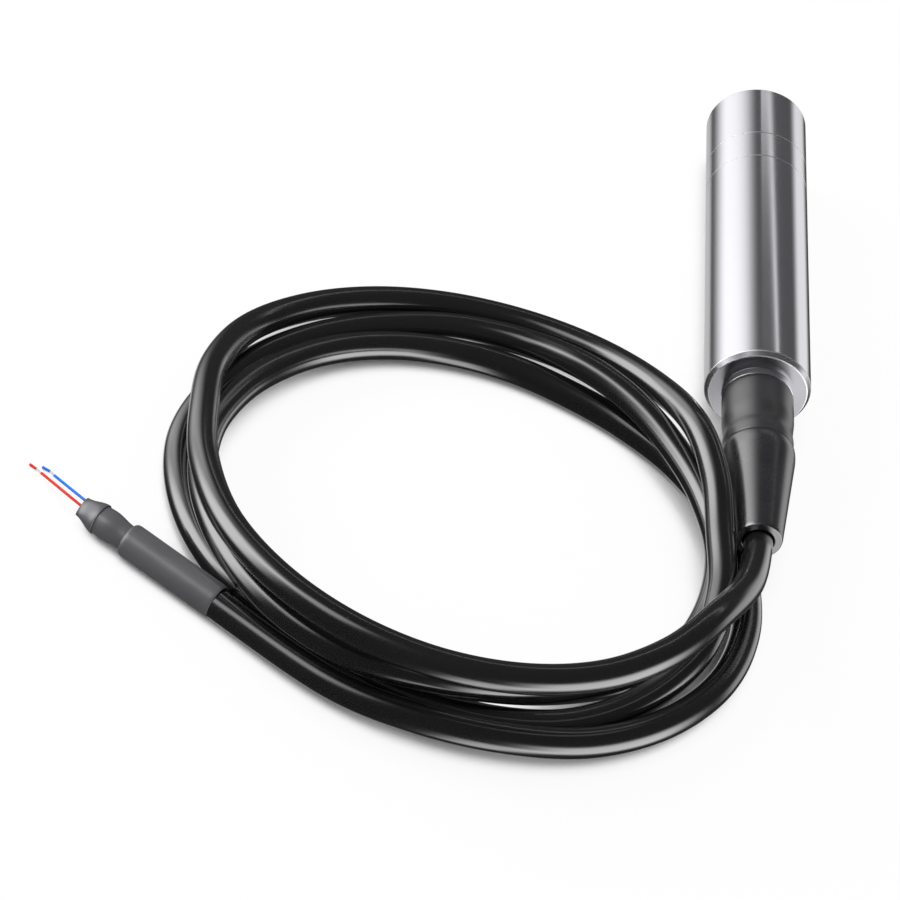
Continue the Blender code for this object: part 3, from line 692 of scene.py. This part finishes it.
# %% Far end sleeves
TILT = math.radians(38.0)
level_side = np.array([END_DIRECTION[1], -END_DIRECTION[0], 0.0])
END_EDGE = level_side * math.cos(TILT) + np.array([0.0, 0.0, math.sin(TILT)])
END_FACE = np.cross(END_DIRECTION, END_EDGE)
end_turn = np.array([END_EDGE, -END_FACE, END_DIRECTION]).T
JACKET_END = 18.3 * MM
end_sleeve_profile = [
    (3.80 * MM, 27.3 * MM), (4.26 * MM, 26.9 * MM), (4.40 * MM, 26.1 * MM), (4.40 * MM, 0.6 * MM),
    (4.28 * MM, 0.0), (CABLE_BORE, 0.0), (CABLE_BORE, JACKET_END), (3.65 * MM, JACKET_END),
    (3.65 * MM, 27.3 * MM),
]
end_sleeve_cut = np.array([0.1, 0.3, 0.5, 0.3, 0.1, 0.1, 0.1, 0.1, 0.05]) * MM
end_sleeve = piece(
    "far_sleeve",
    lathe("far_sleeve", end_sleeve_profile, end_sleeve_cut, sides=72, turn=end_turn,
          at=END_MOUTH),
    end_finish, "sleeve", "end_sleeve")
shrink_end = 35.2 * MM
shrink_lip = shrink_end + 0.25 * MM         # almost at the cap, so that no wire shows between
shrink_profile = [
    (CABLE_RADIUS, shrink_lip), (3.98 * MM, 32.4 * MM), (3.30 * MM, 28.7 * MM),
    (3.35 * MM, JACKET_END), (2.9 * MM, JACKET_END), (2.9 * MM, shrink_lip),
]
shrink_cut = np.array([0.1, 1.8, 1.6, 0.1, 0.1, 0.1]) * MM
end_shrink = piece(
    "far_shrink",
    lathe("far_shrink", shrink_profile, shrink_cut, sides=72, turn=end_turn, at=END_MOUTH),
    end_finish, "sleeve", "end_shrink")

# %% Pinched cap
CAP_START = shrink_end + GAP
CAP_LENGTH = 5.9 * MM
CAP_WALL = 0.4 * MM
CAP_RADIUS, SLOT_WIDE, SLOT_HIGH = 4.1, 2.55, 1.2      # half-axes in mm
CAP_SIDES = 64


def pinched(share, inset):
    """Ovals that go from a circle to a flat slot: half-axes follow 3t^2 - 2t^3."""
    ease = rise_between(share, 0.0, 1.0)
    half_wide = (CAP_RADIUS + (SLOT_WIDE - CAP_RADIUS) * ease)[:, None] * MM - inset
    half_high = (CAP_RADIUS + (SLOT_HIGH - CAP_RADIUS) * ease)[:, None] * MM - inset
    a = np.arange(CAP_SIDES) * math.tau / CAP_SIDES
    out = (half_wide * np.cos(a))[..., None] * END_EDGE
    out = out + (half_high * np.sin(a))[..., None] * END_FACE
    middle = END_MOUTH + (CAP_START + CAP_LENGTH * share)[:, None] * END_DIRECTION
    return middle[:, None] + out


share = np.concatenate([[0.0, 0.015, 0.03], np.linspace(0.06, 0.94, 14), [0.97, 0.985, 1.0]])
lip = 0.12 * MM * (np.abs(share - 0.5) > 0.49)
outside = pinched(share, lip[:, None])
inside = pinched(share[::-1], np.full((len(share), 1), CAP_WALL))
end_cap = piece("pinched_cap", grid_mesh("pinched_cap", np.concatenate([outside, inside]),
                                         ring=True), end_finish, "sleeve", "end_cap")

# %% [markdown]
# ## Wires
# Each wire is bared for a moment near its end, and a slug of its insulation is left on the
# tip, which keeps the tinned strands together until it is pulled off. The strands are a
# bundle twisted by hand, so the bare window is a round rod with shallow spiral grooves.

# %% Wire finishes


def wire_finish(name, colour):
    """Soft plastic with slight changes of shade along it."""
    finish = Finish(name)
    shade = finish.noise(900.0, 2.0)
    tone = finish.blend(shade, tuple(c * 0.85 for c in colour), colour)
    normal = finish.bump(finish.noise(6000.0, 2.0), 0.15, 0.01 * MM)
    return finish.surface(Base_Color=tone, Roughness=0.45 + 0.1 * (shade - 0.5), Normal=normal,
                          IOR=1.35)


def strand_finish(name):
    """Tinned copper: bright, with dull patches."""
    finish = Finish(name)
    patch = finish.noise(5000.0, 2.0)
    tone = finish.blend(patch, (0.62, 0.60, 0.56), (0.85, 0.84, 0.80))
    return finish.surface(Base_Color=tone, Metallic=0.4, Roughness=0.42 + 0.2 * patch)


wire_looks = {
    "wire_red": (wire_finish("red_insulation", (0.80, 0.030, 0.014)), "red_wire", 0.0),
    "wire_blue": (wire_finish("blue_insulation", (0.006, 0.20, 0.86)), "blue_wire", 1.6),
}
tinned = strand_finish("tinned_strands")

# %% Wires
WIRE_RADIUS = 0.35 * MM
WIRE_STOPS = {
    "wire_red": [(-178.39, -103.01, 1.0), (-179.78, -101.82, 0.75), (-181.49, -100.47, 0.45)],
    "wire_blue": [(-175.20, -102.94, 1.1), (-176.42, -101.62, 0.8), (-178.35, -100.42, 0.45)],
}
STRANDS_RADIUS = 0.24 * MM
BUTT = 0.02 * MM                   # between the bare strands and the insulation at each end
cap_end = CAP_START + CAP_LENGTH
for name, (finish, slot, offset) in wire_looks.items():
    bare, slug, tip = np.array(WIRE_STOPS[name]) * MM
    beside = END_EDGE * offset * MM
    stops = np.array([
        end_point(18.6 * MM) + beside, end_point(CAP_START) + beside,
        end_point(cap_end) + beside, bare,
    ])
    way = (slug - bare) / np.linalg.norm(slug - bare)
    path = spline(stops, np.linspace(0.0, len(stops) - 1.0, 60))
    piece(name + "_insulation", tube(name, path, WIRE_RADIUS, 20),
                             finish, slot, name)
    span = np.linspace(0.0, 1.0, 24)[:, None]
    bare_path = (bare + way * BUTT) + (slug - bare - 2 * way * BUTT) * span
    a = np.arange(30) * math.tau / 30
    grooves = STRANDS_RADIUS * (1 - 0.07 * np.abs(np.cos(3.5 * (a[None, :] + 9.0 * span))))
    piece(name + "_strands", tube(name, bare_path, grooves, 30),
                             tinned, "tinned", name + "_core")
    tip_path = slug + (tip - slug) * span
    piece(name + "_slug", tube(name, tip_path, WIRE_RADIUS, 20),
                             finish, slot, name + "_tip")

# %% [markdown]
# ## Inside the housing
# The parts inside keep their solids and get finishes of their own, for anyone who opens the
# probe: green laminate, black chips, brass, moulded plastic and bright metal.

# %% Inner finishes


def inner_finish(name, colour, roughness, metallic=0.0):
    """A plain finish with a fine grain in its shade, gloss and height."""
    finish = Finish(name)
    fine = finish.noise(2500.0, 2.0)
    tone = finish.blend(fine, tuple(c * 0.8 for c in colour), colour)
    normal = finish.bump(fine, 0.15, 0.01 * MM)
    return finish.surface(Base_Color=tone, Metallic=metallic, Normal=normal,
                          Roughness=roughness + 0.12 * (fine - 0.5))


def board_finish(name):
    """Green laminate with darker copper runs under the mask, drawn by two sets of lines."""
    finish = Finish(name)
    x, y, z = finish.split(finish.place())
    runs = (finish.lines(x, 1400.0, 0.0) > 0.56) * (finish.lines(y, 160.0, 0.0) > 0.42)
    tone = finish.blend(runs, (0.02, 0.17, 0.07), (0.05, 0.30, 0.12))
    return finish.surface(Base_Color=tone, Roughness=0.42 - 0.08 * runs,
                          Normal=finish.bump(runs, 0.4, 0.03 * MM))


inner_looks = {
    "board": board_finish("laminate"),
    "chip": inner_finish("moulded_chip", (0.025, 0.025, 0.027), 0.45),
    "can": inner_finish("metal_can", (0.66, 0.66, 0.68), 0.32, 1.0),
    "holder": inner_finish("moulded_holder", (0.72, 0.70, 0.65), 0.5),
    "terminal": inner_finish("terminal_plastic", (0.04, 0.26, 0.11), 0.42),
    "brass": inner_finish("brass", (0.80, 0.58, 0.26), 0.28, 1.0),
    "vent": inner_finish("vent_plastic", (0.82, 0.82, 0.78), 0.42),
    "seal": inner_finish("seal_rubber", (0.018, 0.018, 0.018), 0.6),
    "cell": turned_steel("cell_steel", (0.74, 0.75, 0.76), 0.28),
    "tinned": tinned,
    "steel": steel,
    "red_wire": wire_looks["wire_red"][0],
    "blue_wire": wire_looks["wire_blue"][0],
}
replaced = {"housing", "sensor_body", "nose_cap", "shrink_boot", "bend_sleeve", "cable",
            "end_sleeve", "end_shrink", "end_cap"}
replaced |= {wire + end for wire in wire_looks for end in ("", "_core", "_tip")}
kept = 0
for row in frame["record"]["subparts"]:
    if row["node"] in replaced:
        continue
    mesh = nodes[row["node"]].data
    mesh.materials.clear()
    mesh.materials.append(inner_looks[row["material_slot"]])
    kept += 1
print("inner solids with a finish:", kept)

# %% [markdown]
# ## Floor and light
# The floor is a plain pale sheet. To the camera it is almost white by its own light, with
# the soft shadow kept and the narrow gaps between turns left dark. Steel and glossy rubber
# show what stands round them, so the surroundings matter as much as the lamps: a tall window
# on the left with its curtain, a pale wall on the right, tables, and a grey ceiling.

# %% Floor
floor_mesh = bpy.data.meshes.new("floor")
half = 6.0
floor_mesh.from_pydata([(-half, -half, 0), (half, -half, 0), (half, half, 0), (-half, half, 0)],
                       [], [(0, 1, 2, 3)])
floor = bpy.data.objects.new("floor", floor_mesh)
floor.location = (0.0, 0.0, -0.05 * MM)
floor.visible_glossy = False
bpy.context.scene.collection.objects.link(floor)

floor_finish = Finish("floor_sheet")
rays = floor_finish.node("ShaderNodeLightPath")
seen = Value(floor_finish, rays.outputs["Is Camera Ray"])
WHITE = (1.0, 1.0, 1.0)
glow = floor_finish.node("ShaderNodeEmission", inputs={"Color": WHITE, "Strength": 1.0})
matte = floor_finish.node("ShaderNodeBsdfDiffuse", inputs={"Color": (0.9, 0.9, 0.9)})
gaps = floor_finish.node("ShaderNodeAmbientOcclusion", {"samples": 12}, {"Distance": 0.030})
openness = Value(floor_finish, gaps.outputs["AO"]).step(0.22, 0.52)
OWN_LIGHT = 0.90                   # the rest of what the camera sees holds the soft shadow
share_lit = seen * openness * OWN_LIGHT
mixed = floor_finish.node("ShaderNodeMixShader", inputs={0: share_lit, 1: matte.outputs[0],
                                                         2: glow.outputs[0]})
output = next(n for n in floor_finish.tree.nodes if n.type == "OUTPUT_MATERIAL")
floor_finish.put(output.inputs[0], mixed.outputs[0])
floor_mesh.materials.append(floor_finish.material)

# %% [markdown]
# The camera sees a white world. Glossy surfaces mirror a dark room with bright patches in it,
# each set by its heading and its rise in degrees, and matte surfaces get even light.

# %% World
world = bpy.data.worlds.new("studio")
world.use_nodes = True
bpy.context.scene.world = world
studio = Finish("studio", world.node_tree)
background = next(n for n in world.node_tree.nodes if n.type == "BACKGROUND")
paths = studio.node("ShaderNodeLightPath")
to_camera = Value(studio, paths.outputs["Is Camera Ray"])
to_gloss = Value(studio, paths.outputs["Is Glossy Ray"])
way_x, way_y, way_z = studio.split(studio.node("ShaderNodeTexCoord").outputs["Generated"])
heading = way_x.reckon("ARCTAN2", way_y)
rise = way_z.reckon("ARCSINE")


def panel(headings, rises, soft, power):
    """A soft-edged bright patch of the surroundings, between two headings and two rises."""
    across = heading.window(*(math.radians(a) for a in (*headings, soft)))
    upward = rise.window(*(math.radians(a) for a in (*rises, soft)))
    return across * upward * power


DARK_ROOM = 0.035
EVEN_LIGHT = 0.55                  # on matte surfaces, from all sides
surround = (
    DARK_ROOM
    + panel((-50.0, 62.0), (-75.0, 43.0), 7.0, 0.01)         # grey ceiling and far wall
    + panel((-106.0, -60.0), (-6.0, 50.0), 12.0, 2.9)        # tall window on the left
    + panel((-132.0, -92.0), (44.0, 72.0), 9.0, 1.2)         # window high on the left
    + panel((-57.0, -27.0), (-15.0, 45.0), 16.0, 1.22)       # curtain of the tall window
    + panel((33.0, 78.0), (-22.0, 8.0), 7.0, 0.84)           # pale wall on the right
    + panel((96.0, 150.0), (-36.0, 12.0), 11.0, 2.4)         # low panel at the front right
    + panel((146.0, 173.0), (-64.0, -18.0), 9.0, 1.7)        # table in front
    + panel((-30.0, 13.0), (-64.0, -32.0), 5.0, 0.50)        # table behind
    + panel((-5.0, 45.0), (36.4, 38.4), 0.9, 1.10)           # narrow gap in the ceiling
)
lit = to_gloss * surround + (1.0 - to_gloss) * EVEN_LIGHT
strength = to_camera + (1.0 - to_camera) * lit
studio.put(background.inputs["Color"], WHITE)
studio.put(background.inputs["Strength"], strength)

# %% Lamps


def lamp(name, place, aim, size, power):
    """A soft panel at a place, turned to face a point. Mirrors show the world instead."""
    data = bpy.data.lights.new(name, "AREA")
    data.shape = "RECTANGLE"
    data.size, data.size_y = size
    data.energy = power
    made = bpy.data.objects.new(name, data)
    place, aim = np.array(place), np.array(aim)
    back = (place - aim) / np.linalg.norm(place - aim)
    level = np.cross([0.0, 0.0, 1.0], back)
    level /= np.linalg.norm(level)
    turn = np.array([level, np.cross(back, level), back]).T
    made.matrix_world = Matrix.Translation(place) @ Matrix(turn.tolist()).to_4x4()
    made.visible_glossy = False
    bpy.context.scene.collection.objects.link(made)
    print("lamp", name, power, "W")


middle = (-0.04, -0.03, 0.0)
lamp("window_panel", (-1.20, 0.45, 0.75), middle, (0.9, 0.55), 9.0)
lamp("overhead_panel", (-0.25, 0.15, 1.6), middle, (0.6, 0.5), 11.0)
